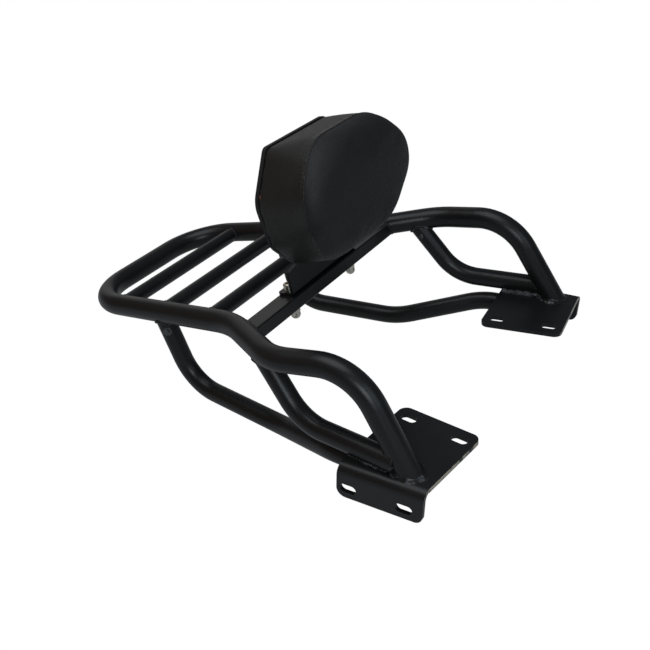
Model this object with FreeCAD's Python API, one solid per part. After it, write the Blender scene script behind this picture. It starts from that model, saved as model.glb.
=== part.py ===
import FreeCAD, Part
import math
import os
from FreeCAD import Vector

# Motorcycle luggage rack with a passenger backrest, in millimetres.
# X points to the front of the motorcycle, Y to its left, Z up from the mounting plates.
# The origin lies midway between the two mounting plates, on their underside.
# Deck coordinates are measured from the crossbar, on the plane of the rails.

# Deck plane
deck_pitch = 9.2
deck_x = -172.8
deck_z = 71.2

# Hoop: one bent tube from foot to foot, corner points on the tube axis in deck coordinates
hoop_diameter = 22.0
hoop_wall = 2.0
rear_run_x = -245.0
rear_half_width = 90.8
kink_x = -24.4
kink_half_width = 110.8
shoulder_x = 52.0
shoulder_half_width = 155.3
shoulder_drop = 3.8
leg_top_x = 134.9
leg_top_half_width = 153.0
leg_top_drop = 5.0
foot_x = 9.2
foot_fold_inset = 19.1
rear_corner_radius = 57.0
kink_radius = 91.0
shoulder_radius = 58.0
leg_radius = 51.5

# Cross tubes between the rails
cross_diameter = 16.0
cross_wall = 1.5
rear_cross_x = -188.3
middle_cross_x = -122.9
front_cross_x = -57.6

# Crossbar: rectangular tube that carries the backrest
bar_depth = 22.0
bar_height = 13.0
bar_wall = 2.0
bar_corner = 1.5
bar_top = 2.2

# Lower stays, from the rear of the rails to the underside of the plates
stay_diameter = 19.0
stay_wall = 1.8
stay_top_x = -296.6
stay_heel_x = -275.8
stay_heel_inset = 5.4
stay_heel_drop = 31.1
stay_knee_x = -154.3
stay_knee_half_width = 112.6
stay_knee_drop = 33.7
stay_toe_x = -65.2
stay_fold_inset = 28.5
stay_end_x = 4.0
stay_heel_radius = 40.0
stay_knee_radius = 92.0
stay_toe_radius = 75.0

# Braces, from the hoop's shoulder to the top of the plates
brace_diameter = 19.0
brace_wall = 1.8
brace_top_x = -143.7
brace_bend_x = -98.2
brace_bend_outset = 8.1
brace_foot_outset = 4.1
brace_end_setback = 9.2
brace_radius = 47.8

# Mounting plates: skewed leaf with a flange folded down along its outer edge
plate_thickness = 4.0
plate_length = 80.5
fold_half_width = 177.0
fold_radius = 5.0
flange_depth = 32.0
leaf_width = 92.4
leaf_skew = 8.2
side_lean = 6.4
plate_shift = 1.5
plate_corner_radius = 8.0
slot_width = 8.5
slot_length = 16.0
slot_pitch = 52.4
leaf_slot_inset = 12.8
flange_slot_drop = 22.0
flange_slot_shift = -13.3

# Backrest bracket: plate folded up from a base that lies on the crossbar
bracket_thickness = 3.0
bracket_fold_radius = 1.0
bracket_half_width = 56.0
bracket_front = 8.0
shoulder_height = 23.5
shoulder_rise = 4.0
neck_half_width = 36.0
neck_top_half_width = 26.0
neck_height = 98.0
bracket_corner_radius = 3.0
neck_root_radius = 8.0

# Bolts through bracket and crossbar
bolt_diameter = 6.0
bolt_hole = 6.6
bolt_edge = 6.0
bolt_x = -0.8
head_diameter = 10.0
head_height = 6.0
head_chamfer = 0.6
socket_flats = 5.0
socket_depth = 3.0
washer_thickness = 1.6
head_washer_diameter = 9.4
nut_washer_diameter = 12.0
nut_flats = 10.0
nut_hex_height = 5.0
dome_diameter = 9.6
dome_height = 12.0
dome_wall = 1.6

# Backing board and its screws
board_thickness = 4.0
board_top = 142.0
board_top_half_width = 47.0
board_waist_height = 100.5
board_waist_half_width = 77.0
board_hip_height = 57.0
board_hip_half_width = 72.5
board_bottom = 29.0
board_bottom_half_width = 46.0
board_top_radius = 8.0
board_side_radius = 24.0
board_bottom_radius = 18.0
screw_diameter = 5.0
screw_hole = 5.4
screw_head_diameter = 9.5
screw_head_height = 2.7
screw_half_spacing = 18.0
screw_low = 56.0
screw_high = 84.0

# Pad: widest outline, and how far its top, sides and bottom draw in over the crowned front
pad_margin = 1.0
pad_top = 147.0
pad_top_half_width = 48.0
pad_shoulder_height = 111.0
pad_hip_height = 80.0
pad_half_width = 84.0
pad_bottom = 31.0
pad_bottom_half_width = 50.0
pad_top_radius = 60.0
pad_side_radius = 36.0
pad_bottom_radius = 40.0
crown_steps = [(49.0, 0.0, 0.0, 0.0), (60.0, 1.2, 0.0, 4.5), (69.0, 3.8, 0.4, 12.5),
               (75.0, 7.5, 3.0, 21.0), (79.0, 12.5, 8.5, 30.0), (82.0, 20.0, 19.0, 42.0)]

# Clearances, and the largest share of a straight run that a bend takes up
weld_gap = 0.1
seat_gap = 0.05
bend_share = 0.48

# Places that follow from the sizes above
leaf_inner_y = fold_half_width - leaf_width
foot_half_width = fold_half_width - foot_fold_inset
stay_toe_y = fold_half_width - stay_fold_inset
bolt_half_spacing = bracket_half_width - bolt_edge

X_AXIS = Vector(1, 0, 0)
Y_AXIS = Vector(0, 1, 0)
Z_AXIS = Vector(0, 0, 1)
FAR = 400.0


# Point in the row frame from deck coordinates
def deck(x, y, z=0.0):
    angle = math.radians(deck_pitch)
    return Vector(deck_x + x * math.cos(angle) - z * math.sin(angle), y,
                  deck_z + x * math.sin(angle) + z * math.cos(angle))


# Moves a shape from deck coordinates to the row frame
def onto_deck(shape):
    moved = shape.copy()
    moved.rotate(Vector(0, 0, 0), Y_AXIS, -deck_pitch)
    moved.translate(Vector(deck_x, 0, deck_z))
    return moved


def mirrored(shape):
    return shape.mirror(Vector(0, 0, 0), Y_AXIS)


def largest(shape):
    return max(shape.Solids, key=lambda solid: solid.Volume)


def cylinder(diameter, height, base, axis=Z_AXIS):
    return Part.makeCylinder(diameter / 2, height, base, axis)


# Disc or ring across the start of a tube run
def section(centre, direction, diameter, wall):
    outer = Part.Wire(Part.makeCircle(diameter / 2, centre, direction))
    if not wall:
        return Part.Face(outer)
    inner = Part.Wire(Part.makeCircle(diameter / 2 - wall, centre, direction))
    return Part.Face(outer).cut(Part.Face(inner))


# Tangent points, centre, axis and angle of the bend at one corner of a path
def bend(before, corner, after, radius):
    to_before = (before - corner).normalize()
    to_after = (after - corner).normalize()
    inside = to_before.getAngle(to_after)
    room = bend_share * min((before - corner).Length, (after - corner).Length)
    setback = min(radius / math.tan(inside / 2), room)
    radius = setback * math.tan(inside / 2)
    middle = (to_before + to_after).normalize()
    centre = corner + middle * (radius / math.sin(inside / 2))
    axis = (corner - before).cross(after - corner).normalize()
    start = corner + to_before * setback
    end = corner + to_after * setback
    return start, end, centre, axis, math.degrees(math.pi - inside)


# Bent tube along straight runs joined by tangent bends; no wall makes a solid rod
def tube(points, radii, diameter, wall=0.0):
    pieces = []
    start = points[0]
    for index, radius in enumerate(radii):
        before, corner, after = points[index:index + 3]
        first, last, centre, axis, angle = bend(before, corner, after, radius)
        face = section(start, corner - before, diameter, wall)
        pieces.append(face.extrude(first - start))
        face = section(first, corner - before, diameter, wall)
        pieces.append(face.revolve(centre, axis, angle))
        start = last
    face = section(start, points[-1] - points[-2], diameter, wall)
    pieces.append(face.extrude(points[-1] - start))
    whole = pieces[0].multiFuse(pieces[1:])
    return largest(whole)


# Closed outline of straight edges with a round at each corner
def rounded_face(corners, radii):
    count = len(corners)
    edges = []
    ends = []
    for index in range(count):
        before = corners[index - 1]
        corner = corners[index]
        after = corners[(index + 1) % count]
        if radii[index]:
            start, end, centre, axis, angle = bend(before, corner, after, radii[index])
            outward = (corner - centre).normalize() * (start - centre).Length
            ends.append((start, end, Part.Arc(start, centre + outward, end).toShape()))
        else:
            ends.append((corner, corner, None))
    for index in range(count):
        start, end, arc = ends[index]
        if arc:
            edges.append(arc)
        edges.append(Part.makeLine(end, ends[(index + 1) % count][0]))
    return Part.Face(Part.Wire(edges))


# Left half of the hoop's axis, from the middle of the rear run to below the plate
def hoop_half():
    leg_top = deck(leg_top_x, leg_top_half_width, -leg_top_drop)
    foot = Vector(foot_x, foot_half_width, plate_thickness)
    beyond = foot + (foot - leg_top).normalize() * hoop_diameter
    return [deck(rear_run_x, rear_half_width),
            deck(kink_x, kink_half_width),
            deck(shoulder_x, shoulder_half_width, -shoulder_drop),
            leg_top,
            beyond]


def hoop_tube(diameter, wall):
    left = hoop_half()
    right = [Vector(point.x, -point.y, point.z) for point in left]
    radii = [rear_corner_radius, kink_radius, shoulder_radius, leg_radius]
    return tube(right[::-1] + left, radii[::-1] + radii, diameter, wall)


def make_hoop():
    under = Part.makeBox(FAR, 2 * FAR, FAR,
                         Vector(-FAR / 2, -FAR, plate_thickness + weld_gap - FAR))
    return largest(hoop_tube(hoop_diameter, hoop_wall).cut(under))


# Solid rod a weld gap larger than the hoop, which copes whatever is welded to it
def hoop_cutter():
    return hoop_tube(hoop_diameter + 2 * weld_gap, 0.0)


# Point on the left half of the hoop's axis at a given X
def on_hoop(x):
    points = hoop_half()
    for start, end in zip(points, points[1:]):
        if start.x <= x <= end.x:
            return start + (end - start) * ((x - start.x) / (end.x - start.x))
    return points[-1]


def rail_y(x):
    share = (x - rear_run_x) / (kink_x - rear_run_x)
    return rear_half_width + share * (kink_half_width - rear_half_width)


def cross_ends(x):
    return [deck(x, -rail_y(x)), deck(x, rail_y(x))]


def make_cross_tube(x, cutter):
    return largest(tube(cross_ends(x), [], cross_diameter, cross_wall).cut(cutter))


# Rectangular tube across the deck, round-cornered, coped to the hoop at both ends
def make_crossbar(cutter):
    length = 2 * kink_half_width + hoop_diameter
    outer = Part.makeBox(bar_depth, length, bar_height,
                         Vector(-bar_depth / 2, -length / 2, bar_top - bar_height))
    long_edges = [edge for edge in outer.Edges if abs(edge.Length - length) < seat_gap]
    outer = outer.makeFillet(bar_corner, long_edges)
    inner = Part.makeBox(bar_depth - 2 * bar_wall, length, bar_height - 2 * bar_wall,
                         Vector(bar_wall - bar_depth / 2, -length / 2,
                                bar_top - bar_height + bar_wall))
    beam = outer.cut(inner)
    for y in (-bolt_half_spacing, bolt_half_spacing):
        base = Vector(bolt_x, y, bar_top - 2 * bar_height)
        beam = beam.cut(cylinder(bolt_hole, 3 * bar_height, base))
    return largest(onto_deck(beam).cut(cutter))


def make_stay(cutter):
    under = -stay_diameter / 2 - weld_gap
    top = on_hoop(stay_top_x)
    points = [top,
              Vector(stay_heel_x, top.y - stay_heel_inset, -stay_heel_drop),
              Vector(stay_knee_x, stay_knee_half_width, -stay_knee_drop),
              Vector(stay_toe_x, stay_toe_y, under),
              Vector(stay_end_x, stay_toe_y, under)]
    radii = [stay_heel_radius, stay_knee_radius, stay_toe_radius]
    cross_rod = tube(cross_ends(middle_cross_x), [], cross_diameter + 2 * weld_gap)
    return largest(tube(points, radii, stay_diameter, stay_wall).cut([cutter, cross_rod]))


def make_brace(cutter):
    height = plate_thickness + weld_gap + brace_diameter / 2
    top = on_hoop(brace_top_x)
    foot_y = foot_half_width + brace_foot_outset
    points = [top,
              Vector(brace_bend_x, top.y + brace_bend_outset, height),
              Vector(foot_x - brace_end_setback, foot_y, height)]
    return largest(tube(points, [brace_radius], brace_diameter, brace_wall).cut(cutter))


# X of the front and rear edges of the plate at a distance from the middle plane
def side_x(sign, y):
    lean = math.tan(math.radians(side_lean))
    return plate_shift + sign * plate_length / 2 - (y - leaf_inner_y) * lean


# Y of a line parallel to the leaf's inner edge, an inset away from it
def skewed_y(x, inset=0.0):
    skew = math.radians(leaf_skew)
    return leaf_inner_y + x * math.tan(skew) + inset / math.cos(skew)


def slot(centre, along, axis):
    half = (slot_length - slot_width) / 2
    reach = FAR / 4
    start = centre - axis * (reach / 2)
    ends = [cylinder(slot_width, reach, start + along * shift, axis)
            for shift in (-half, half)]
    across = axis.cross(along) * (slot_width / 2)
    corners = [start - along * half - across, start + along * half - across,
               start + along * half + across, start - along * half + across]
    middle = Part.Face(Part.makePolygon(corners + corners[:1])).extrude(axis * reach)
    return ends[0].multiFuse([ends[1], middle])


# Straight folded strip, which the leaf and flange outlines then trim
def folded_strip():
    top = plate_thickness
    outer = fold_half_width
    inner = outer - plate_thickness
    corners = [Vector(-FAR / 2, 0, 0), Vector(-FAR / 2, 0, top),
               Vector(-FAR / 2, outer, top), Vector(-FAR / 2, outer, top - flange_depth),
               Vector(-FAR / 2, inner, top - flange_depth), Vector(-FAR / 2, inner, 0)]
    radii = [0, 0, fold_radius + plate_thickness, 0, 0, fold_radius]
    return rounded_face(corners, radii).extrude(X_AXIS * FAR)


def make_plate():
    fold_start = fold_half_width - plate_thickness - fold_radius
    wide = FAR / 3
    leaf = [Vector(side_x(-1, leaf_inner_y), skewed_y(side_x(-1, leaf_inner_y)), -FAR / 2),
            Vector(side_x(1, leaf_inner_y), skewed_y(side_x(1, leaf_inner_y)), -FAR / 2),
            Vector(side_x(1, fold_start), fold_start, -FAR / 2),
            Vector(wide, fold_start, -FAR / 2),
            Vector(wide, FAR, -FAR / 2),
            Vector(-wide, FAR, -FAR / 2),
            Vector(-wide, fold_start, -FAR / 2),
            Vector(side_x(-1, fold_start), fold_start, -FAR / 2)]
    rounds = [plate_corner_radius, plate_corner_radius, 0, 0, 0, 0, 0, 0]
    leaf_prism = rounded_face(leaf, rounds).extrude(Z_AXIS * FAR)
    drop = flange_depth * math.tan(math.radians(side_lean))
    rear = side_x(-1, fold_start)
    front = side_x(1, fold_start)
    low = plate_thickness - flange_depth
    flange = [Vector(rear - drop, 0, low), Vector(front - drop, 0, low),
              Vector(front, 0, plate_thickness), Vector(wide, 0, plate_thickness),
              Vector(wide, 0, FAR), Vector(-wide, 0, FAR),
              Vector(-wide, 0, plate_thickness), Vector(rear, 0, plate_thickness)]
    flange_prism = rounded_face(flange, rounds).extrude(Y_AXIS * FAR)
    near_fold = Part.makeBox(FAR, fold_start, FAR, Vector(-FAR / 2, 0, -FAR / 2))
    plate = folded_strip().common(leaf_prism).common(flange_prism.fuse(near_fold))
    skew = math.radians(leaf_skew)
    along = Vector(math.cos(skew), math.sin(skew), 0)
    middle = Vector(0, skewed_y(0, leaf_slot_inset), 0)
    for shift in (-slot_pitch / 2, slot_pitch / 2):
        plate = plate.cut(slot(middle + along * shift, along, Z_AXIS))
        centre = Vector(flange_slot_shift + shift, fold_half_width,
                        plate_thickness - flange_slot_drop)
        plate = plate.cut(slot(centre, X_AXIS, Y_AXIS))
    return largest(plate)


# Folded bracket in deck coordinates: base on the crossbar, stepped upright, bolt holes
def make_bracket():
    back = -bar_depth / 2
    low = bar_top + seat_gap
    rise = low + bracket_thickness
    inner = bracket_front - bracket_thickness
    top = bar_top + neck_height
    corners = [Vector(back, 0, low), Vector(bracket_front, 0, low),
               Vector(bracket_front, 0, top), Vector(inner, 0, top),
               Vector(inner, 0, rise), Vector(back, 0, rise)]
    outer_radius = bracket_fold_radius + bracket_thickness
    profile = rounded_face(corners, [0, outer_radius, 0, 0, bracket_fold_radius, 0])
    folded = profile.extrude(Y_AXIS * 2 * bracket_half_width)
    folded.translate(Vector(0, -bracket_half_width, 0))
    step = bar_top + shoulder_height
    half = [Vector(-FAR, bracket_half_width, low - bar_height),
            Vector(-FAR, bracket_half_width, step),
            Vector(-FAR, neck_half_width, step + shoulder_rise),
            Vector(-FAR, neck_top_half_width, top)]
    other = [Vector(point.x, -point.y, point.z) for point in half]
    rounds = [0, bracket_corner_radius, neck_root_radius, neck_root_radius]
    front_view = rounded_face(half + other[::-1], rounds + rounds[::-1])
    bracket = folded.common(front_view.extrude(X_AXIS * 2 * FAR))
    plan = [Vector(back, -bracket_half_width, -FAR), Vector(back, bracket_half_width, -FAR),
            Vector(FAR, bracket_half_width, -FAR), Vector(FAR, -bracket_half_width, -FAR)]
    rounds = [bracket_corner_radius, bracket_corner_radius, 0, 0]
    bracket = bracket.common(rounded_face(plan, rounds).extrude(Z_AXIS * 2 * FAR))
    for y in (-bolt_half_spacing, bolt_half_spacing):
        bracket = bracket.cut(cylinder(bolt_hole, bar_height, Vector(bolt_x, y, 0)))
    for y, z in screw_places():
        bracket = bracket.cut(cylinder(screw_hole, FAR, Vector(-FAR / 2, y, z), X_AXIS))
    return largest(onto_deck(bracket))


def screw_places():
    return [(y, bar_top + z) for y in (screw_half_spacing, -screw_half_spacing)
            for z in (screw_low, screw_high)]


# Eight-cornered outline across the deck, mirrored left to right, with rounded corners
def soft_outline(x, half, rounds):
    left = [Vector(x, y, bar_top + z) for y, z in half]
    right = [Vector(x, -y, bar_top + z) for y, z in half]
    return rounded_face(left + right[::-1], rounds + rounds[::-1])


def board_outline(x, inset=0.0):
    half = [(board_top_half_width - inset, board_top - inset),
            (board_waist_half_width - inset, board_waist_height),
            (board_hip_half_width - inset, board_hip_height),
            (board_bottom_half_width - inset, board_bottom + inset)]
    rounds = [board_top_radius, board_side_radius, board_side_radius, board_bottom_radius]
    return soft_outline(x, half, rounds)


def make_board():
    board = board_outline(bracket_front + seat_gap).extrude(X_AXIS * board_thickness)
    for y, z in screw_places():
        board = board.cut(cylinder(screw_hole, FAR, Vector(-FAR / 2, y, z), X_AXIS))
    return largest(onto_deck(board))


# Outline of the pad at a depth, with its top, sides and bottom drawn in
def pad_outline(x, top_inset, side_inset, bottom_inset):
    draw = 1.0 - side_inset / pad_half_width
    top = pad_top - top_inset
    bottom = pad_bottom + bottom_inset
    share = (top - bottom) / (pad_top - pad_bottom)
    half = [(pad_top_half_width * draw, top),
            (pad_half_width * draw, top - (pad_top - pad_shoulder_height) * share),
            (pad_half_width * draw, bottom + (pad_hip_height - pad_bottom) * share),
            (pad_bottom_half_width * draw, bottom)]
    rounds = [pad_top_radius, pad_side_radius, pad_side_radius, pad_bottom_radius]
    return soft_outline(x, half, [radius * draw * share for radius in rounds])


# Upholstered pad: sides flare from the board to the widest outline, then the front is crowned
def make_pad():
    back = bracket_front + seat_gap + board_thickness + seat_gap
    wires = [board_outline(back, pad_margin).OuterWire]
    wires += [pad_outline(*step).OuterWire for step in crown_steps]
    return largest(onto_deck(Part.makeLoft(wires, True, True)))


def hexagon(flats, z):
    radius = flats / math.sqrt(3)
    corners = [Vector(radius * math.cos(math.radians(60 * k)),
                      radius * math.sin(math.radians(60 * k)), z) for k in range(7)]
    return Part.Face(Part.makePolygon(corners))


# Socket-head bolt standing on the head washer, in its own axis
def make_bolt():
    seat = bar_top + seat_gap + bracket_thickness + washer_thickness + 2 * seat_gap
    length = seat - (bar_top - bar_height) + washer_thickness + dome_height - 2 * dome_wall
    head = cylinder(head_diameter, head_height, Vector(0, 0, seat))
    head = head.makeChamfer(head_chamfer, [head.Edges[0]])
    socket = hexagon(socket_flats, seat + head_height - socket_depth)
    head = head.cut(socket.extrude(Z_AXIS * head_height))
    shank = cylinder(bolt_diameter, length, Vector(0, 0, seat - length))
    return largest(head.fuse(shank))


def make_washer(diameter, z):
    ring = cylinder(diameter, washer_thickness, Vector(0, 0, z))
    return ring.cut(cylinder(bolt_diameter + 4 * weld_gap, FAR, Vector(0, 0, z - FAR / 2)))


# Dome nut hanging below the crossbar: hexagon, round cap, blind bore
def make_nut():
    top = bar_top - bar_height - washer_thickness - 2 * seat_gap
    hex_part = hexagon(nut_flats, top - nut_hex_height).extrude(Z_AXIS * nut_hex_height)
    radius = dome_diameter / 2
    straight = dome_height - nut_hex_height - radius
    cap = cylinder(dome_diameter, straight, Vector(0, 0, top - nut_hex_height - straight))
    ball = Part.makeSphere(radius, Vector(0, 0, top - dome_height + radius))
    bore_depth = dome_height - dome_wall
    bore = cylinder(bolt_diameter + 2 * weld_gap, bore_depth, Vector(0, 0, top - bore_depth))
    return largest(hex_part.multiFuse([cap, ball]).cut(bore))


def make_screw():
    head = cylinder(screw_head_diameter, screw_head_height, Vector(0, 0, 0), X_AXIS)
    head = head.makeChamfer(screw_head_height / 3, [head.Edges[2]])
    shank_length = screw_head_height + bracket_thickness + board_thickness
    shank = cylinder(screw_diameter, shank_length, Vector(0, 0, 0), X_AXIS)
    return largest(head.fuse(shank))


def at_bolt(shape, side):
    placed = shape.copy()
    placed.translate(Vector(bolt_x, side * bolt_half_spacing, 0))
    return onto_deck(placed)


def build():
    cutter = hoop_cutter()
    parts = {"hoop": make_hoop()}
    for name, x in (("rear", rear_cross_x), ("middle", middle_cross_x), ("front", front_cross_x)):
        parts["cross_tube_" + name] = make_cross_tube(x, cutter)
    parts["crossbar"] = make_crossbar(cutter)
    for name, piece in (("stay", make_stay(cutter)), ("brace", make_brace(cutter)),
                        ("mount_plate", make_plate())):
        parts[name + "_left"] = piece
        parts[name + "_right"] = mirrored(piece)
    parts["backrest_bracket"] = make_bracket()
    parts["backing_board"] = make_board()
    parts["pad"] = make_pad()
    head_washer_z = bar_top + 2 * seat_gap + bracket_thickness
    nut_washer_z = bar_top - bar_height - seat_gap - washer_thickness
    for name, side in (("left", 1), ("right", -1)):
        parts["bolt_" + name] = at_bolt(make_bolt(), side)
        parts["head_washer_" + name] = at_bolt(make_washer(head_washer_diameter, head_washer_z), side)
        parts["nut_washer_" + name] = at_bolt(make_washer(nut_washer_diameter, nut_washer_z), side)
        parts["dome_nut_" + name] = at_bolt(make_nut(), side)
    for number, (y, z) in enumerate(screw_places()):
        screw = make_screw()
        behind = bracket_front - bracket_thickness - seat_gap - screw_head_height
        screw.translate(Vector(behind, y, z))
        parts["board_screw_" + "abcd"[number]] = onto_deck(screw)
    return parts


os.makedirs("parts", exist_ok=True)
for node, shape in build().items():
    shape.exportStep("parts/" + node + ".step")
    print(node, len(shape.Solids), shape.isValid(), round(shape.Volume))
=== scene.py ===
import bpy
import bmesh
import math
from mathutils import Matrix, Vector
from mathutils.bvhtree import BVHTree


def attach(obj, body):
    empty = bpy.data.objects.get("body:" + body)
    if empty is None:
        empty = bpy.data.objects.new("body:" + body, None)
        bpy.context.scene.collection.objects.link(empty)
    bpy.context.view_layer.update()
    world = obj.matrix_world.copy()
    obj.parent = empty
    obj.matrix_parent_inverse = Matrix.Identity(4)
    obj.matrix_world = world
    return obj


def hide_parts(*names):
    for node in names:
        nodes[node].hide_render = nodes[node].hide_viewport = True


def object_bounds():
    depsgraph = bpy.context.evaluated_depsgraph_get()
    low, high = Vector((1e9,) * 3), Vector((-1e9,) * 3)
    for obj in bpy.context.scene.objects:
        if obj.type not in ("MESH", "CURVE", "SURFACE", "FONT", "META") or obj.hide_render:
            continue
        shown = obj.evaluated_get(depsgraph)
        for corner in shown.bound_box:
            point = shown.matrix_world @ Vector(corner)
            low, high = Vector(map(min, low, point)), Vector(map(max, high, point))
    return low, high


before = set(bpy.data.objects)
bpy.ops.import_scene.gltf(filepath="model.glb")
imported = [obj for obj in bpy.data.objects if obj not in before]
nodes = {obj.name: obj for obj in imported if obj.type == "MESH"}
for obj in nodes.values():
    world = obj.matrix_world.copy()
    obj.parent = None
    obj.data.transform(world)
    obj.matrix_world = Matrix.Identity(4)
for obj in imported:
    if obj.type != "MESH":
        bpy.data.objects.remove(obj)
scene = bpy.context.scene


def corners():
    return [[float(value) for value in corner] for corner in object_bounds()]


cad_box = corners()

# Driving sizes of the rack in millimetres, as in the part's source
# Deck: pitch in degrees, and the origin of its coordinates in the row frame
deck_pitch = 9.2
deck_x = -172.8
deck_z = 71.2

# Outer radii of the tubes, and section and top of the crossbar
hoop_radius = 11.0
cross_radius = 8.0
stay_radius = 9.5
brace_radius = 9.5
bar_depth = 22.0
bar_height = 13.0
bar_top = 2.2

# Left half of the hoop and the cross tubes, in deck coordinates
rear_run_x = -245.0
rear_half_width = 90.8
kink_x = -24.4
kink_half_width = 110.8
shoulder = (52.0, 155.3, -3.8)
leg_top = (134.9, 153.0, -5.0)
cross_places = (-188.3, -122.9, -57.6)

# Left foot, stay and brace, in the row frame
foot = Vector((9.2, 157.9, 4.0))
plate_top = 4.0
stay_top_x = -296.6
stay_heel = Vector((-275.8, 96.2, -31.1))
stay_foot_y = 148.5
brace_top_x = -143.7
brace_bend = Vector((-98.2, 150.0, 13.6))
brace_end = Vector((0.0, 162.0, 13.6))


# Point of the row frame from deck coordinates, both in millimetres
def deck(x, y, z=0.0):
    angle = math.radians(deck_pitch)
    return Vector((deck_x + x * math.cos(angle) - z * math.sin(angle), y,
                   deck_z + x * math.sin(angle) + z * math.cos(angle)))


def metres(point):
    return Vector(point) / 1000.0


def place_object(name, data):
    obj = bpy.data.objects.new(name, data)
    scene.collection.objects.link(obj)
    return obj


def object_from(name, mesh):
    data = bpy.data.meshes.new(name)
    mesh.to_mesh(data)
    mesh.free()
    return place_object(name, data)


def smooth(obj):
    for polygon in obj.data.polygons:
        polygon.use_smooth = True


# Faces between neighbouring rings of vertices, each ring closed on itself
def skin(mesh, rings, closed=False):
    following = rings[1:] + rings[:1] if closed else rings[1:]
    for first, last in zip(rings, following):
        for k in range(len(first)):
            n = (k + 1) % len(first)
            mesh.faces.new((first[k], first[n], last[n], last[k]))


def cap(mesh, rings):
    mesh.faces.new(rings[0][::-1])
    mesh.faces.new(rings[-1])


def ray_tree(data):
    mesh = bmesh.new()
    mesh.from_mesh(data)
    tree = BVHTree.FromBMesh(mesh)
    mesh.free()
    return tree


# Materials: nodes that several finishes share
def new_material(name):
    material = bpy.data.materials.new(name)
    material.use_nodes = True
    tree = material.node_tree
    where = tree.nodes.new("ShaderNodeTexCoord").outputs["Object"]
    return material, tree, tree.nodes["Principled BSDF"], where


# Links a socket to another node's output, or sets it to a constant
def feed(tree, value, socket):
    if hasattr(value, "node"):
        tree.links.new(value, socket)
    else:
        socket.default_value = value


def noise(tree, where, scale, detail=3.0, rough=0.5):
    node = tree.nodes.new("ShaderNodeTexNoise")
    node.inputs["Scale"].default_value = scale
    node.inputs["Detail"].default_value = detail
    node.inputs["Roughness"].default_value = rough
    tree.links.new(where, node.inputs["Vector"])
    return node.outputs["Fac"]


def cells(tree, where, scale, feature="F1"):
    node = tree.nodes.new("ShaderNodeTexVoronoi")
    node.feature = feature
    node.inputs["Scale"].default_value = scale
    tree.links.new(where, node.inputs["Vector"])
    return node.outputs["Distance"]


# From first to last while the source goes from low to high
def ramp(tree, source, low, high, first, last):
    node = tree.nodes.new("ShaderNodeMapRange")
    node.inputs["From Min"].default_value = low
    node.inputs["From Max"].default_value = high
    node.inputs["To Min"].default_value = first
    node.inputs["To Max"].default_value = last
    tree.links.new(source, node.inputs["Value"])
    return node.outputs["Result"]


def mix(tree, factor, first, second):
    node = tree.nodes.new("ShaderNodeMix")
    node.data_type = "RGBA"
    for socket, value in ((node.inputs[0], factor), (node.inputs[6], first), (node.inputs[7], second)):
        feed(tree, value, socket)
    return node.outputs[2]


def calculate(tree, operation, *values):
    node = tree.nodes.new("ShaderNodeMath")
    node.operation = operation
    for value, socket in zip(values, node.inputs):
        feed(tree, value, socket)
    return node.outputs[0]


def product(tree, first, second):
    return calculate(tree, "MULTIPLY", first, second)


# Dot product with a fixed direction, or distance from a fixed point
def measured(tree, operation, source, constant):
    node = tree.nodes.new("ShaderNodeVectorMath")
    node.operation = operation
    node.inputs[1].default_value = constant
    tree.links.new(source, node.inputs[0])
    return node.outputs["Value"]


def parts_of(tree, vector):
    node = tree.nodes.new("ShaderNodeSeparateXYZ")
    tree.links.new(vector, node.inputs[0])
    return node.outputs


def bump(tree, shader, layers):
    normal = None
    for height, strength, distance in layers:
        node = tree.nodes.new("ShaderNodeBump")
        node.inputs["Strength"].default_value = strength
        node.inputs["Distance"].default_value = distance
        tree.links.new(height, node.inputs["Height"])
        if normal:
            tree.links.new(normal, node.inputs["Normal"])
        normal = node.outputs["Normal"]
    tree.links.new(normal, shader.inputs["Normal"])


def surface(tree, shader, colour, roughness, layers):
    tree.links.new(colour, shader.inputs["Base Color"])
    tree.links.new(roughness, shader.inputs["Roughness"])
    bump(tree, shader, layers)


# Colours of the finishes; where there are two, the finish wanders between them
coat_colours = ((0.0060, 0.0060, 0.0062, 1), (0.0098, 0.0095, 0.0094, 1))
bare_colour = (0.085, 0.088, 0.092, 1)
dust_colour = (0.12, 0.115, 0.10, 1)
# Pale beige of a plate's front edge
pale_edge_colour = (0.46, 0.39, 0.28, 1)
zinc_colours = ((0.40, 0.375, 0.32, 1), (0.64, 0.60, 0.53, 1))
oxide_colours = ((0.020, 0.020, 0.022, 1), (0.045, 0.044, 0.044, 1))
board_colours = ((0.006, 0.006, 0.0065, 1), (0.012, 0.0118, 0.0118, 1))
face_colours = ((0.0086, 0.0085, 0.0086, 1), (0.0121, 0.0119, 0.0118, 1))
band_colours = ((0.0087, 0.0077, 0.0067, 1), (0.0135, 0.0121, 0.0107, 1))
thread_colours = ((0.016, 0.016, 0.017, 1), (0.034, 0.033, 0.033, 1))
# Painted shade for the hollows of the vinyl's grain
crease_shade_colour = (0.006, 0.006, 0.006, 1)
mark_colour = (0.20, 0.055, 0.030, 1)


# A few specks of dust, far apart
def dust(tree, where):
    spots = ramp(tree, cells(tree, where, 210.0), 0.05, 0.10, 1.0, 0.0)
    rare = ramp(tree, noise(tree, where, 60.0, detail=2.0), 0.60, 0.66, 0.0, 1.0)
    return product(tree, product(tree, spots, rare), 0.35)


# Pale beige patches on the edge of a plate that faces the front
def front_edge(tree, where):
    normal = tree.nodes.new("ShaderNodeNewGeometry").outputs["Normal"]
    facing = ramp(tree, parts_of(tree, normal)["X"], 0.90, 0.95, 0.0, 1.0)
    place = parts_of(tree, where)
    forward = ramp(tree, place["X"], 0.020, 0.022, 0.0, 1.0)
    above = ramp(tree, place["Z"], -0.001, 0.0, 0.0, 0.8)
    patchy = ramp(tree, noise(tree, where, 90.0, rough=0.6), 0.38, 0.50, 0.0, 1.0)
    return product(tree, product(tree, facing, patchy), product(tree, forward, above))


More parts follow.
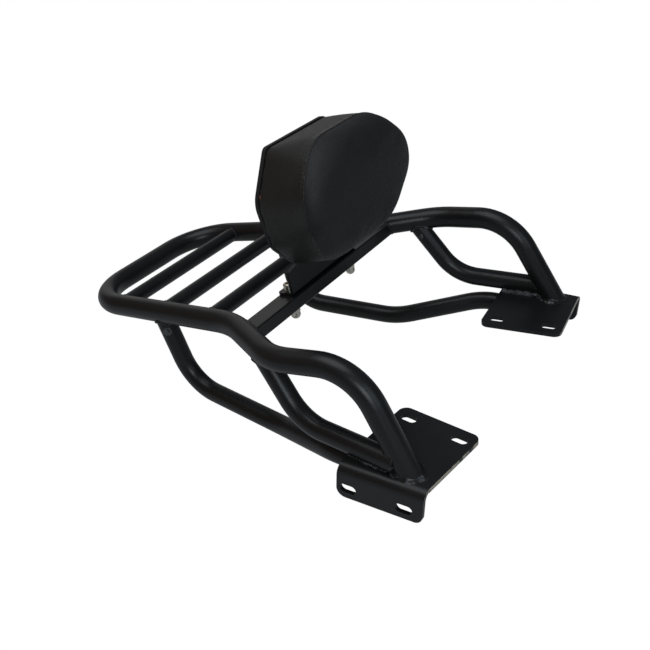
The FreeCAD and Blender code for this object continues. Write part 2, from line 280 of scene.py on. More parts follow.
# Satin black powder coat: orange peel, uneven gloss and a few specks of dust
# On welds it is bumpier and glossier, and grey metal shows where the noise is above bare_from
def powder_coat(name, weld=False, pale_front_edge=False, bare_from=0.54):
    material, tree, shader, where = new_material(name)
    broad = noise(tree, where, 22.0)
    peel = noise(tree, where, 420.0, detail=2.0)
    fine = noise(tree, where, 900.0, rough=0.6)
    layers = [(peel, 0.03, 0.0003), (fine, 0.03, 0.0001)]
    smoothest, roughest = (0.20, 0.34) if weld else (0.31, 0.37)
    roughness = ramp(tree, broad, 0.35, 0.65, smoothest, roughest)
    colour = mix(tree, broad, *coat_colours)
    if weld:
        layers.append((noise(tree, where, 300.0), 0.3, 0.0006))
        bare = ramp(tree, noise(tree, where, 130.0, rough=0.6), bare_from, bare_from + 0.12, 0.0, 0.7)
        colour = mix(tree, bare, colour, bare_colour)
    colour = mix(tree, dust(tree, where), colour, dust_colour)
    # Pale beige patches along the plate's front edge
    if pale_front_edge:
        colour = mix(tree, front_edge(tree, where), colour, pale_edge_colour)
    shader.inputs["Specular IOR Level"].default_value = 0.26
    surface(tree, shader, colour, roughness, layers)
    return material


def zinc():
    material, tree, shader, where = new_material("zinc_plate")
    broad = noise(tree, where, 260.0)
    fine = noise(tree, where, 2600.0, rough=0.6)
    roughness = ramp(tree, fine, 0.3, 0.7, 0.20, 0.36)
    layers = [(fine, 0.15, 0.0002), (broad, 0.1, 0.0004)]
    shader.inputs["Metallic"].default_value = 1.0
    surface(tree, shader, mix(tree, broad, *zinc_colours), roughness, layers)
    return material


def black_oxide():
    material, tree, shader, where = new_material("black_oxide")
    broad = noise(tree, where, 300.0)
    fine = noise(tree, where, 2000.0, rough=0.6)
    roughness = ramp(tree, broad, 0.3, 0.7, 0.30, 0.42)
    shader.inputs["Metallic"].default_value = 0.6
    surface(tree, shader, mix(tree, broad, *oxide_colours), roughness, [(fine, 0.15, 0.0002)])
    return material


def moulded_board():
    material, tree, shader, where = new_material("moulded_board")
    broad = noise(tree, where, 30.0)
    grain = noise(tree, where, 1300.0, detail=4.0, rough=0.65)
    roughness = ramp(tree, grain, 0.3, 0.7, 0.50, 0.62)
    shader.inputs["Specular IOR Level"].default_value = 0.25
    surface(tree, shader, mix(tree, broad, *board_colours), roughness, [(grain, 0.35, 0.0003)])
    return material


# Reddish mark on the right side of the pad: deck x and y, and height above the crossbar
mark_x = 13.6
mark_y = -73.6
mark_height = 106.0

# Depths along the deck between which the stretched strip behind the seam sets in
stretch_start = 42.0
stretch_full = 60.0


# Pebbles of the vinyl: 0 in the hollows between them and 1 on top
def pebble_grain(tree, where):
    wave = tree.nodes.new("ShaderNodeTexNoise")
    wave.inputs["Scale"].default_value = 300.0
    tree.links.new(where, wave.inputs["Vector"])
    warp = tree.nodes.new("ShaderNodeMixRGB")
    warp.blend_type = "ADD"
    warp.inputs["Fac"].default_value = 0.0012
    tree.links.new(where, warp.inputs[1])
    tree.links.new(wave.outputs["Color"], warp.inputs[2])
    edges = cells(tree, warp.outputs[0], 620.0, "DISTANCE_TO_EDGE")
    return ramp(tree, edges, 0.0, 0.22, 0.0, 1.0)


# Strip of the side band just behind the seam, where the cover is stretched
def near_seam(tree, where):
    angle = math.radians(deck_pitch)
    depth = measured(tree, "DOT_PRODUCT", where, (math.cos(angle), 0.0, math.sin(angle)))
    origin = deck_x * math.cos(angle) + deck_z * math.sin(angle)
    start = (origin + stretch_start) / 1000.0
    full = (origin + stretch_full) / 1000.0
    return ramp(tree, depth, start, full, 0.0, 1.0)


# Grained vinyl with its roughness about a middle value: pebbled cells, with painted shade darkening the
# hollows between them
# The side band also has a mark and fine folds
def vinyl(name, colours, middle, band=False):
    material, tree, shader, where = new_material(name)
    pebbles = pebble_grain(tree, where)
    broad = noise(tree, where, 16.0)
    fine = noise(tree, where, 1500.0, rough=0.6)
    # Painted shade: the hollows between the pebbles are darkened half way to the crease colour
    crease_shade = ramp(tree, pebbles, 0.0, 0.5, 0.5, 0.0)
    colour = mix(tree, crease_shade, mix(tree, broad, *colours), crease_shade_colour)
    roughness = ramp(tree, product(tree, pebbles, fine), 0.1, 0.6, middle + 0.08, middle - 0.05)
    layers = [(pebbles, 0.25, 0.0003), (broad, 0.2, 0.003)]
    if band:
        mark = measured(tree, "DISTANCE", where, metres(deck(mark_x, mark_y, bar_top + mark_height)))
        colour = mix(tree, ramp(tree, mark, 0.0014, 0.0021, 0.85, 0.0), colour, mark_colour)
        wrinkles = noise(tree, where, 260.0, detail=5.0, rough=0.7)
        folds = product(tree, near_seam(tree, where), wrinkles)
        roughness = product(tree, roughness, ramp(tree, folds, 0.25, 0.6, 1.0, 0.55))
        layers.append((folds, 0.6, 0.0011))
    shader.inputs["Specular IOR Level"].default_value = 0.28
    surface(tree, shader, colour, roughness, layers)
    return material


coat = powder_coat("powder_coat")
coat_weld = powder_coat("powder_coat_weld", weld=True)
coat_thin = powder_coat("powder_coat_thin", weld=True, bare_from=0.42)
coat_plate = powder_coat("powder_coat_plate", pale_front_edge=True)
zinc_plate = zinc()
oxide = black_oxide()
board_finish = moulded_board()
vinyl_face = vinyl("vinyl_face", face_colours, 0.58)
vinyl_band = vinyl("vinyl_band", band_colours, 0.46, band=True)
thread = vinyl("thread", thread_colours, 0.50)

# Finishes of the solids, by the start of their names; all others are powder coated
finishes = {"bolt": zinc_plate, "head_washer": zinc_plate, "nut_washer": zinc_plate,
            "dome_nut": zinc_plate, "board_screw": oxide, "backing_board": board_finish,
            "mount_plate": coat_plate}


def finish_of(name):
    for start, finish in finishes.items():
        if name.startswith(start):
            return finish
    return coat


for name, obj in nodes.items():
    obj.data.materials.clear()
    obj.data.materials.append(finish_of(name))

# Weld beads: spacing of the rings, length of a ripple, and corners of a ring
bead_step = 0.32
bead_pitch = 1.9
bead_sides = 10

# Shares of a bead's radius: ripple and slow wave in its swell, lean of its rings, sink into the metal
ripple_swell = 0.09
slow_swell = 0.07
bead_lean = 0.16
bead_sink = 0.2

# The slow wave against the ripples: its rate and its start
slow_rate = 0.137
slow_start = 1.3

# An open end begins at a share of the full swell and gains a little with each ring
end_share = 0.25
end_gain = 0.12

# Directions that no bead, tube or leg runs along, to turn their cross sections by
bead_upright = Vector((0.31, 0.17, 0.93))
tube_upright = Vector((0.05, 0.11, 0.99))
leg_sideways = Vector((0.05, 0.99, 0.11))

# Reaches of the rays that look for the metal, in metres
joint_reach = 0.05
foot_reach = 0.08
plate_reach = 0.03

# Foot fillet: points round the tube, rows down the slope, and how deep its edges sit in the metal
fillet_around = 150
fillet_rows = 7
fillet_sink = 0.3

# How hollow the slope of the fillet is, by its reach, and how far above the plate its rays start
fillet_hollow = 0.25
fillet_above = 8


def as_weld(obj, finish):
    smooth(obj)
    obj.data.materials.append(finish)
    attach(obj, "root")


# Points at even spacing along a line
def resample(points, spacing, closed):
    if closed:
        points = points + points[:1]
    lengths = [0.0]
    for first, second in zip(points, points[1:]):
        lengths.append(lengths[-1] + (second - first).length)
    count = max(4, round(lengths[-1] / spacing))
    result = []
    index = 0
    for k in range(count if closed else count + 1):
        target = lengths[-1] * k / count
        while index < len(points) - 2 and lengths[index + 1] < target:
            index += 1
        span = lengths[index + 1] - lengths[index] or 1e-9
        result.append(points[index].lerp(points[index + 1], (target - lengths[index]) / span))
    return result


# Swell of a bead at one of its rings: ripples on a slow wave, and thin near an open end
def bead_swell(phase, rings_to_end):
    swell = 1.0 + ripple_swell * math.sin(phase) + slow_swell * math.sin(phase * slow_rate + slow_start)
    return swell * min(1.0, end_share + end_gain * rings_to_end)


# Places round one ring of a bead, the ring leaning to and fro with the ripples
def bead_ring(centre, ahead, radius, swell, phase):
    side = ahead.cross(bead_upright).normalized()
    up = ahead.cross(side)
    lean = bead_lean * radius * math.cos(phase)
    ring = []
    for s in range(bead_sides):
        angle = 2 * math.pi * s / bead_sides
        offset = side * math.cos(angle) + up * math.sin(angle)
        ring.append(metres(centre + offset * radius * swell + ahead * lean))
    return ring


# Rippled bead along a path, as laid by a welding torch
def bead(name, points, radius, closed=False, finish=coat_weld):
    path = resample(points, bead_step, closed)
    count = len(path)
    mesh = bmesh.new()
    rings = []
    for k, centre in enumerate(path):
        before = path[k - 1] if closed or k > 0 else centre
        after = path[(k + 1) % count] if closed or k < count - 1 else centre
        ahead = (after - before).normalized()
        phase = 2 * math.pi * k * bead_step / bead_pitch
        swell = bead_swell(phase, math.inf if closed else min(k, count - 1 - k))
        rings.append([mesh.verts.new(place) for place in bead_ring(centre, ahead, radius, swell, phase)])
    skin(mesh, rings, closed)
    if not closed:
        cap(mesh, rings)
    as_weld(object_from(name, mesh), finish)


# Bead where the outline of one tube runs into another piece, open where the outline misses it
def weld_round(name, start, direction, outline, tree, radius, upright=tube_upright):
    direction = direction.normalized()
    side = direction.cross(upright).normalized()
    up = side.cross(direction)
    points = []
    for a, b in outline:
        touch = tree.ray_cast(metres(start + side * a + up * b), direction, joint_reach)[0]
        points.append(None if touch is None else touch * 1000.0 - direction * bead_sink * radius)
    missed = [k for k, point in enumerate(points) if point is None]
    if missed:
        points = points[missed[-1] + 1:] + points[:missed[-1]]
    bead(name, [point for point in points if point is not None], radius, closed=not missed)


# Domed weld metal that closes the end of a tube
def weld_plug(name, place, direction, radius, rise, finish=coat_weld):
    mesh = bmesh.new()
    turn = Vector((0, 0, 1)).rotation_difference(direction).to_matrix().to_4x4()
    shape = Matrix.Translation(metres(place)) @ turn @ Matrix.Diagonal((1, 1, rise / radius, 1))
    bmesh.ops.create_uvsphere(mesh, u_segments=48, v_segments=24, radius=radius / 1000.0, matrix=shape)
    as_weld(object_from(name, mesh), finish)


# Lower edge of a fillet: the plate at the outer point, or that point itself past the plate's edge
def fillet_edge(tree, outer):
    above = outer + Vector((0, 0, fillet_above))
    found = tree.ray_cast(metres(above), Vector((0, 0, -1)), plate_reach)[0]
    return outer if found is None else found * 1000.0 - Vector((0, 0, fillet_sink))


# Hollow line of a fillet from the tube down to the plate
def fillet_line(high, low, flat, reach):
    belly = (flat + Vector((0, 0, 1))).normalized()
    line = []
    for row in range(fillet_rows):
        share = row / (fillet_rows - 1)
        line.append(high.lerp(low, share) - belly * fillet_hollow * reach * math.sin(math.pi * share))
    return line


# Uneven reach of a fillet round its tube: a fine wave and a broad one
def fillet_wave(angle):
    return 1.0 + 0.04 * math.sin(angle * 17) + 0.12 * math.sin(angle * 5 + 1.0)


# Filled corner between the foot of a tube and the plate that it stands on
def weld_fillet(name, start, direction, radius, tree, reach):
    direction = direction.normalized()
    side = direction.cross(leg_sideways).normalized()
    up = side.cross(direction)
    middle = tree.ray_cast(metres(start), direction, foot_reach)[0] * 1000.0
    lines = []
    for k in range(fillet_around):
        angle = 2 * math.pi * k / fillet_around
        away = side * math.cos(angle) + up * math.sin(angle)
        touch = tree.ray_cast(metres(start + away * radius), direction, foot_reach)[0] * 1000.0
        flat = Vector((touch.x - middle.x, touch.y - middle.y, 0)).normalized()
        wave = fillet_wave(angle)
        high = touch - direction * reach * wave - away * fillet_sink
        low = fillet_edge(tree, touch + flat * reach * wave)
        lines.append(fillet_line(high, low, flat, reach))
    mesh = bmesh.new()
    skin(mesh, [[mesh.verts.new(metres(point)) for point in row] for row in zip(*lines)])
    bmesh.ops.recalc_face_normals(mesh, faces=mesh.faces)
    as_weld(object_from(name, mesh), coat_weld)


def circle(radius, count=120):
    return [(radius * math.cos(2 * math.pi * k / count), radius * math.sin(2 * math.pi * k / count))
            for k in range(count)]


def rectangle(width, height, step=0.5):
    outline = []
    for a, b, c, d in ((-1, -1, 1, -1), (1, -1, 1, 1), (1, 1, -1, 1), (-1, 1, -1, -1)):
        length = width if a != c else height
        count = int(length / step)
        for k in range(count):
            t = k / count
            outline.append(((a + (c - a) * t) * width / 2, (b + (d - b) * t) * height / 2))
    return outline


# Point on the left rail or shoulder of the hoop, at an x of the row frame
def hoop_point(row_x):
    path = [deck(rear_run_x, rear_half_width), deck(kink_x, kink_half_width), deck(*shoulder)]
    for first, second in zip(path, path[1:]):
        if first.x <= row_x <= second.x:
            return first.lerp(second, (row_x - first.x) / (second.x - first.x))


# Half width between the rails at a deck x
def rail_y(x):
    return rear_half_width + (x - rear_run_x) / (kink_x - rear_run_x) * (kink_half_width - rear_half_width)


# Point or direction of the left half, taken to a side: 1 is left and -1 is right
def flipped(point, side):
    return Vector((point[0], point[1] * side, point[2]))


# Distances back from a joint at which the rays towards it start
cross_back = 24.0
bar_back = 26.0
stay_back = 26.0
brace_back = 28.0
leg_back = 22.0
brace_end_back = 26.0

# Radii of the beads, reach of the fillet, and height of the plug in a brace's end
cross_bead = 0.9
bar_bead = 1.1
top_bead = 1.5
brace_end_bead = 1.2
stay_side_bead = 1.6
foot_fillet = 4.8
plug_rise = 1.6

# How far the beads at the crossbar and at a brace's end and plug sit inside the tube's outline
bar_inset = 0.4
brace_end_inset = 0.2
plug_inset = 0.1

# Lumps of weld metal on the tops of stay and brace: tube, place, way out and radius
lumps = (("stay", Vector((-291.7, 100.4, 33.0)), Vector((0.5, 0.87, 0.1)), 4.6),
         ("brace", Vector((-136.0, 143.2, 58.0)), Vector((0.6, -0.7, 0.2)), 4.2))
lump_out = 9.0
lump_rise = 1.5

# Beads along both sides of brace and stay on a plate
# Side, offset from the brace and from the stay, radius on the brace, and finish there
plate_beads = (("out", -5.4, -5.4, 2.1, coat_weld), ("in", 7.6, 5.6, 3.6, coat_thin))
brace_side_start = 46.0
brace_side_length = 40
brace_side_lift = 0.9
stay_side_start = -44.0
stay_side_length = 45
stay_side_z = -0.8

hoop_tree = ray_tree(nodes["hoop"].data)
brace_ahead = (brace_end - brace_bend).normalized()


def weld_deck(side, word):
    across = Vector((0, side, 0))
    for place, x in zip(("rear", "middle", "front"), cross_places):
        start = deck(x, side * (rail_y(x) - cross_back))
        name = "weld_cross_%s_%s" % (place, word)
        weld_round(name, start, across, circle(cross_radius), hoop_tree, cross_bead)
    start = deck(0, side * (kink_half_width - bar_back), bar_top - bar_height / 2)
    outline = rectangle(bar_depth - 2 * bar_inset, bar_height - 2 * bar_inset)
    upright = deck(0, 0, 1) - deck(0, 0)
    weld_round("weld_bar_" + word, start, across, outline, hoop_tree, bar_bead, upright)


# Bead at the top of a stay or brace, found by looking up along it
def weld_top(name, top_x, bend, radius, back, side):
    top = flipped(hoop_point(top_x), side)
    down = (flipped(bend, side) - top).normalized()
    weld_round(name, top + down * back, -down, circle(radius), hoop_tree, top_bead)


def weld_lumps(side, word):
    for tube, place, way_out, radius in lumps:
        out = flipped(way_out, side).normalized()
        centre = flipped(place, side) + out * lump_out
        weld_plug("weld_lump_%s_%s" % (tube, word), centre, out, radius, lump_rise, coat_thin)


def weld_leg(side, word):
    plate_tree = ray_tree(nodes["mount_plate_" + word].data)
    heel = flipped(foot, side)
    down = (heel - flipped(deck(*leg_top), side)).normalized()
    weld_fillet("weld_leg_" + word, heel - down * leg_back, down, hoop_radius, plate_tree, foot_fillet)


# Bead where the brace runs into the leg, and the plug in the brace's end
def weld_brace_end(side, word):
    ahead = flipped(brace_ahead, side)
    start = flipped(brace_end - brace_ahead * brace_end_back, side)
    weld_round("weld_brace_end_" + word, start, ahead, circle(brace_radius - brace_end_inset),
               hoop_tree, brace_end_bead)
    weld_plug("weld_brace_plug_" + word, flipped(brace_end, side), ahead,
              brace_radius - plug_inset, plug_rise)


def weld_plate_sides(side, word):
    aside = brace_ahead.cross(Vector((0, 0, 1)))
    for place, brace_offset, stay_offset, radius, finish in plate_beads:
        points = [brace_end - brace_ahead * (brace_side_start - k) + aside * brace_offset
                  for k in range(brace_side_length + 1)]
        points = [flipped((p.x, p.y, plate_top + brace_side_lift), side) for p in points]
        bead("weld_brace_side_%s_%s" % (place, word), points, radius, finish=finish)
        points = [Vector((stay_side_start + k, side * (stay_foot_y + stay_offset), stay_side_z))
                  for k in range(stay_side_length + 1)]
        bead("weld_stay_side_%s_%s" % (place, word), points, stay_side_bead)


for side, word in ((1, "left"), (-1, "right")):
    weld_deck(side, word)
    weld_top("weld_stay_" + word, stay_top_x, stay_heel, stay_radius, stay_back, side)
    weld_top("weld_brace_" + word, brace_top_x, brace_bend, brace_radius, brace_back, side)
    weld_lumps(side, word)
    weld_leg(side, word)
    weld_brace_end(side, word)
    weld_plate_sides(side, word)

# Pad in millimetres: depths from the crossbar, and heights above it
pad_back = 12.2
pad_centre = 90.0
pad_half_height = 50.0
seam_depth = 67.6
seam_lean = 4.6
seam_bow = 9.4
crown_depth = 15.2
crown_rise = 1.2
edge_round = 22.0
edge_round_low = 31.0

# Left half of its outline at the board and at the seam, y and height, with the radius of each corner
back_half = [(47.0, 140.2), (77.2, 100.0), (72.8, 57.0), (46.0, 29.0)]
back_rounds = [8.0, 24.0, 24.0, 18.0]
seam_half = [(48.0, 145.6), (84.0, 111.0), (84.0, 80.0), (50.0, 31.0)]
seam_rounds = [60.0, 36.0, 36.0, 40.0]

# Rings of the cover: on the board, up the side, over the edge in degrees, and in towards the middle
back_inner = 0.7
side_steps = 10
side_bulge = 0.9
board_flare = 0.8
edge_turns = (8, 18, 28, 38, 48, 58, 68, 79, 90)
face_scales = (0.8, 0.6, 0.4, 0.2)

# Cloth run: size of a voxel and the furthest that a point may move, both in metres, and last frame
voxel = 0.0025
most_shift = 0.0022
last_frame = 20

# Depth of the pinned back, strength and half width of the pin along the seam
pinned_back = 2.5
seam_pin = 0.75
seam_pin_width = 4.0

# Band behind the seam over which the smoothing sets in
soft_band = 6.0


# Depth of the seam in front of the crossbar: the face bows back towards its top and bottom
def seam_x(height, bow=1.0):
    share = (height - pad_centre) / pad_half_height
    return seam_depth + seam_lean * share - seam_bow * share * share * bow


# Points round one corner of an outline
def corner_points(before, corner, after, radius, steps=14):
    to_before = (before - corner).normalized()
    to_after = (after - corner).normalized()
    inside = to_before.angle(to_after)
    setback = radius / math.tan(inside / 2)
    centre = corner + (to_before + to_after).normalized() * (radius / math.sin(inside / 2))
    first = corner + to_before * setback - centre
    last = corner + to_after * setback - centre
    turn = first.angle_signed(last)
    points = []
    for s in range(steps + 1):
        angle = -turn * s / steps
        points.append(centre + Vector((first.x * math.cos(angle) - first.y * math.sin(angle),
                                       first.x * math.sin(angle) + first.y * math.cos(angle))))
    return points


# Closed outline with rounded corners, mirrored from one half, in the plane of the pad
def outline_points(half, rounds):
    loop = [Vector(point) for point in half + [(-y, z) for y, z in half[::-1]]]
    radii = rounds + rounds[::-1]
    result = []
    for k, corner in enumerate(loop):
        result += corner_points(loop[k - 1], corner, loop[(k + 1) % len(loop)], radii[k])
    return result


back_outline = outline_points(back_half, back_rounds)
seam_outline = outline_points(seam_half, seam_rounds)


# Ring on the board, smaller than the pad's outline there
def back_ring():
    return [deck(pad_back, y * back_inner, bar_top + pad_centre + (height - pad_centre) * back_inner)
            for y, height in back_outline]


# Ring of the side band, a share of the way from the board to the seam
def side_ring(share, grow=0.0):
    ring = []
    for first, second in zip(back_outline, seam_outline):
        flat = first.lerp(second, share)
        away = (flat - Vector((0.0, pad_centre))).normalized()
        flat = flat + away * grow
        x = pad_back + (seam_x(second[1]) - pad_back) * share
        ring.append(deck(x, flat[0], bar_top + flat[1]))
    return ring


# How far the side swells some steps away from the board, next to which it also flares
def side_grow(k):
    return side_bulge * math.sin(math.pi * k / side_steps) + board_flare * (1 - k / side_steps) ** 2


# Ring of the face: turn goes from 0 at the seam to 90 degrees where the edge has rolled over
def face_ring(turn, scale=1.0):
    ring = []
    roll = math.radians(turn)
    for point in seam_outline:
        out = point - Vector((0.0, pad_centre))
        low = min(1.0, max(0.0, (pad_centre - point[1]) / pad_half_height))
        inset = (edge_round + (edge_round_low - edge_round) * low) * (1.0 - math.cos(roll))
        flat = out * (1.0 - inset / out.length) * scale
        height = pad_centre + flat[1]
        rise = crown_rise * (1.0 - scale * scale)
        x = seam_x(height, math.cos(roll)) + crown_depth * math.sin(roll) + rise
        ring.append(deck(x, flat[0], bar_top + height))
    return ring


# Closed form from the board to the seam and over the crowned face
def pad_form():
    sections = [back_ring()]
    sections += [side_ring(k / side_steps, side_grow(k)) for k in range(side_steps + 1)]
    sections += [face_ring(turn) for turn in edge_turns]
    sections += [face_ring(edge_turns[-1], scale) for scale in face_scales]
    mesh = bmesh.new()
    rings = [[mesh.verts.new(metres(point)) for point in section] for section in sections]
    skin(mesh, rings)
    cap(mesh, rings)
    bmesh.ops.remove_doubles(mesh, verts=mesh.verts, dist=1e-6)
    bmesh.ops.recalc_face_normals(mesh, faces=mesh.faces)
    return object_from("pad_cover", mesh)


# Depth in front of the crossbar, and height above it, of a point in metres
def deck_place(point):
    angle = math.radians(deck_pitch)
    out = point * 1000.0 - Vector((deck_x, 0.0, deck_z))
    depth = out.x * math.cos(angle) + out.z * math.sin(angle)
    return depth, out.z * math.cos(angle) - out.x * math.sin(angle) - bar_top


def apply_modifiers(obj):
    graph = bpy.context.evaluated_depsgraph_get()
    data = bpy.data.meshes.new_from_object(obj.evaluated_get(graph))
    obj.modifiers.clear()
    old = obj.data
    obj.data = data
    bpy.data.meshes.remove(old)


# Holds the cover where it lies on the board, and less firmly along the seam
def pin(obj):
    group = obj.vertex_groups.new(name="pin")
    for vertex in obj.data.vertices:
        depth, height = deck_place(vertex.co)
        seam = max(0.0, 1.0 - abs(depth - seam_x(height)) / seam_pin_width)
        group.add([vertex.index], 1.0 if depth < pad_back + pinned_back else seam_pin * seam, "REPLACE")


def set_cloth(obj):
    cloth = obj.modifiers.new("cloth", "CLOTH")
    cloth.settings.quality = 6
    cloth.settings.mass = 0.3
    cloth.settings.tension_stiffness = 12.0
    cloth.settings.compression_stiffness = 12.0
    cloth.settings.bending_stiffness = 0.8
    cloth.settings.use_pressure = True
    cloth.settings.uniform_pressure_force = 4.0
    cloth.settings.vertex_group_mass = "pin"
    cloth.settings.effector_weights.gravity = 0.0
    cloth.point_cache.frame_start = 1
    cloth.point_cache.frame_end = last_frame


# Foam presses the cover outwards: a short cloth run, capped so that the cover keeps its form
def inflate(obj):
    before = [vertex.co.copy() for vertex in obj.data.vertices]
    pin(obj)
    set_cloth(obj)
    for step in range(1, last_frame + 1):
        scene.frame_set(step)
    graph = bpy.context.evaluated_depsgraph_get()
    moved = [vertex.co.copy() for vertex in obj.evaluated_get(graph).data.vertices]
    obj.modifiers.clear()
    scene.frame_set(1)
    for vertex, first, last in zip(obj.data.vertices, before, moved):
        shift = last - first
        if shift.length > most_shift:
            shift = shift.normalized() * most_shift
        vertex.co = first + shift


def remesh(obj):
    grid = obj.modifiers.new("remesh", "REMESH")
    grid.mode = "VOXEL"
    grid.voxel_size = voxel
    apply_modifiers(obj)


# Rubs the last hard turns out of the face; the band near the board keeps its form
def soften(obj):
    group = obj.vertex_groups.new(name="face")
    for vertex in obj.data.vertices:
        depth, height = deck_place(vertex.co)
        share = (depth - seam_x(height) + soft_band) / soft_band
        group.add([vertex.index], min(1.0, max(0.0, share)), "REPLACE")
    rub = obj.modifiers.new("soften", "SMOOTH")
    rub.factor = 0.5
    rub.iterations = 8
    rub.vertex_group = "face"
    apply_modifiers(obj)


def subdivide(obj):
    finer = obj.modifiers.new("subdivide", "SUBSURF")
    finer.levels = 1
    finer.render_levels = 1
    apply_modifiers(obj)


# Face and side band get their own vinyl, parted at the seam
def dress(obj):
    obj.data.materials.clear()
    obj.data.materials.append(vinyl_face)
    obj.data.materials.append(vinyl_band)
    for polygon in obj.data.polygons:
        depth, height = deck_place(polygon.center)
        polygon.material_index = 1 if depth < seam_x(height) else 0


pad = pad_form()
remesh(pad)
inflate(pad)
soften(pad)
subdivide(pad)
smooth(pad)
dress(pad)
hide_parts("pad")
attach(pad, "root")

# Seam fold and stitches on the cover, in millimetres; the stitches run beside the seam
fold_radius = 0.6
stitch_share = 0.955
stitch_lift = 0.05
stitch_length = 3.0
stitch_gap = 1.2
stitch_radius = 0.28
stitch_step = 0.5

pad_tree = ray_tree(pad.data)


def as_trim(obj, finish):
    obj.data.materials.append(finish)
    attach(obj, "root")


# Points of a ring laid onto the finished cover
def on_cover(ring, lift):
    points = []
    for point in ring:
        found = pad_tree.find_nearest(metres(point))
        points.append(found[0] * 1000.0 + found[1] * lift)
    return resample(points, 1.0, True)


# Fold of the seam: a thin closed roll along the points
def seam_fold(name, points, radius):
    data = bpy.data.curves.new(name, "CURVE")
    data.dimensions = "3D"
    data.bevel_depth = radius / 1000.0
    data.bevel_resolution = 2
    spline = data.splines.new("NURBS")
    spline.points.add(len(points) - 1)
    for target, point in zip(spline.points, points):
        target.co = (*metres(point), 1.0)
    spline.use_cyclic_u = True
    spline.order_u = 3
    as_trim(place_object(name, data), vinyl_band)


# Stitches: short rounded threads, one after another
def stitches(name, points, length, gap, radius):
    path = resample(points, stitch_step, True)
    mesh = bmesh.new()
    step = int((length + gap) / stitch_step)
    reach = int(length / stitch_step)
    for k in range(0, len(path) - step + 1, step):
        first, last = path[k], path[(k + reach) % len(path)]
        middle = (first + last) / 2
        ahead = (last - first).normalized()
        turn = Vector((0, 0, 1)).rotation_difference(ahead).to_matrix().to_4x4()
        place = Matrix.Translation(metres(middle)) @ turn @ Matrix.Diagonal((1, 1, length / 2 / radius, 1))
        bmesh.ops.create_icosphere(mesh, subdivisions=2, radius=radius / 1000.0, matrix=place)
    obj = object_from(name, mesh)
    smooth(obj)
    as_trim(obj, thread)


stitch_line = on_cover(side_ring(stitch_share), stitch_lift)
seam_fold("pad_seam_fold", on_cover(side_ring(1.0), 0.0), fold_radius)
stitches("pad_stitches", stitch_line, stitch_length, stitch_gap, stitch_radius)

# Camera: its place in metres, and its right, down and forward directions
camera_place = Vector((0.294669, -0.646526, 0.479237))
camera_right = Vector((0.83581002, 0.54201685, -0.08740330))
camera_down = Vector((0.21322523, -0.46717013, -0.85807171))
camera_ahead = Vector((-0.50592154, 0.69854835, -0.50603715))


def make_camera():
    data = bpy.data.cameras.new("camera")
    data.sensor_width = 36.0
    data.lens = 50.085
    data.clip_start = 0.01
    camera = place_object("camera", data)
    turn = Matrix((camera_right, -camera_down, -camera_ahead)).transposed().to_4x4()
    camera.matrix_world = Matrix.Translation(camera_place) @ turn
    scene.camera = camera


# Output of the tree: the first shader where the share is 0, and the second where it is 1
def blend_shaders(tree, share, first, second, output):
    blend = tree.nodes.new("ShaderNodeMixShader")
    tree.links.new(share, blend.inputs[0])
    tree.links.new(first.outputs[0], blend.inputs[1])
    tree.links.new(second.outputs[0], blend.inputs[2])
    tree.links.new(blend.outputs[0], output.inputs["Surface"])


# Floor: a bluish grey that throws some light up, nearly white to the eye and paler in reflections
floor_half = 6.0
floor_gap = 0.001
floor_colour = (0.32, 0.345, 0.37, 1)
floor_glow = 1.03
glow_seen = 0.97
glow_mirrored = 0.25


def floor_finish():
    material = bpy.data.materials.new("floor")
    material.use_nodes = True
    tree = material.node_tree
    tree.nodes.clear()
    diffuse = tree.nodes.new("ShaderNodeBsdfDiffuse")
    diffuse.inputs["Color"].default_value = floor_colour
    glow = tree.nodes.new("ShaderNodeEmission")
    glow.inputs["Color"].default_value = (1, 1, 1, 1)
    glow.inputs["Strength"].default_value = floor_glow
    rays = tree.nodes.new("ShaderNodeLightPath")
    seen = product(tree, rays.outputs["Is Camera Ray"], glow_seen)
    share = calculate(tree, "MULTIPLY_ADD", rays.outputs["Is Glossy Ray"], glow_mirrored, seen)
    blend_shaders(tree, share, diffuse, glow, tree.nodes.new("ShaderNodeOutputMaterial"))
    return material


def make_floor():
    mesh = bmesh.new()
    bmesh.ops.create_grid(mesh, x_segments=2, y_segments=2, size=floor_half)
    floor = object_from("floor", mesh)
    floor.location = (0, 0, cad_box[0][2] - floor_gap)
    floor.data.materials.append(floor_finish())


# Surroundings: their colour low down and overhead, and the background that is seen
low_sky = (0.028, 0.033, 0.040, 1)
high_sky = (0.155, 0.185, 0.225, 1)
background = (1, 1, 1, 1)

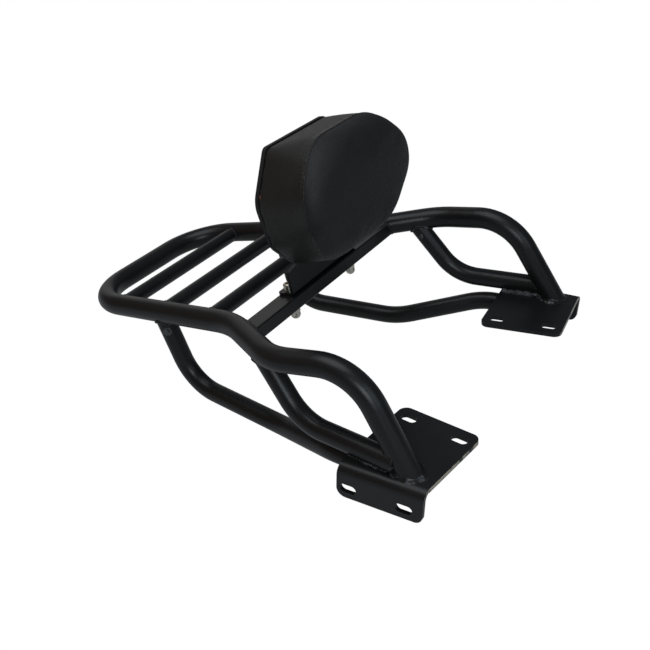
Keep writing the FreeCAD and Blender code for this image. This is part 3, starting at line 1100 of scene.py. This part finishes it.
# Brighter patches of the surroundings: direction, cosines where each starts and is full, colour
sky_patches = (((-0.62, -0.58, 0.53), 0.55, 0.95, (0.17, 0.115, 0.080, 1)),
               ((-0.735, 0.633, 0.245), 0.88, 0.97, (0.50, 0.48, 0.47, 1)))


# Colour of the light that comes in; the incoming direction points back along the ray
def sky_colour(tree):
    incoming = tree.nodes.new("ShaderNodeNewGeometry").outputs["Incoming"]
    height = ramp(tree, parts_of(tree, incoming)["Z"], -1.0, 0.1, 1.0, 0.0)
    sky = mix(tree, height, low_sky, high_sky)
    for direction, start, full, colour in sky_patches:
        toward = measured(tree, "DOT_PRODUCT", incoming, [-part for part in direction])
        sky = mix(tree, ramp(tree, toward, start, full, 0.0, 1.0), sky, colour)
    return sky


def make_world():
    world = bpy.data.worlds.new("world")
    scene.world = world
    world.use_nodes = True
    tree = world.node_tree
    tree.nodes.clear()
    soft = tree.nodes.new("ShaderNodeBackground")
    tree.links.new(sky_colour(tree), soft.inputs["Color"])
    white = tree.nodes.new("ShaderNodeBackground")
    white.inputs["Color"].default_value = background
    rays = tree.nodes.new("ShaderNodeLightPath")
    output = tree.nodes.new("ShaderNodeOutputWorld")
    blend_shaders(tree, rays.outputs["Is Camera Ray"], soft, white, output)


# Round lamp that faces the middle of the rack: place and diameter in metres, power in watts
rack_middle = Vector((-0.15, 0.0, 0.08))


def lamp(name, place, size, power, colour):
    data = bpy.data.lights.new(name, "AREA")
    data.shape = "DISK"
    data.size = size
    data.energy = power
    data.color = colour
    obj = place_object(name, data)
    obj.location = place
    obj.rotation_euler = (rack_middle - Vector(place)).to_track_quat("-Z", "Y").to_euler()


make_camera()
make_floor()
make_world()

# Soft ceiling light, a window to the front, and a smaller one behind the camera
lamp("ceiling", (-0.35, -0.25, 1.5), 1.3, 11.0, (0.93, 0.97, 1.0))
lamp("window", (1.15, -0.35, 0.85), 1.0, 4.2, (0.76, 0.90, 1.0))
lamp("small_window", (0.55, -0.95, 0.62), 0.5, 5.0, (0.84, 0.92, 1.0))

scene.view_settings.view_transform = "Standard"
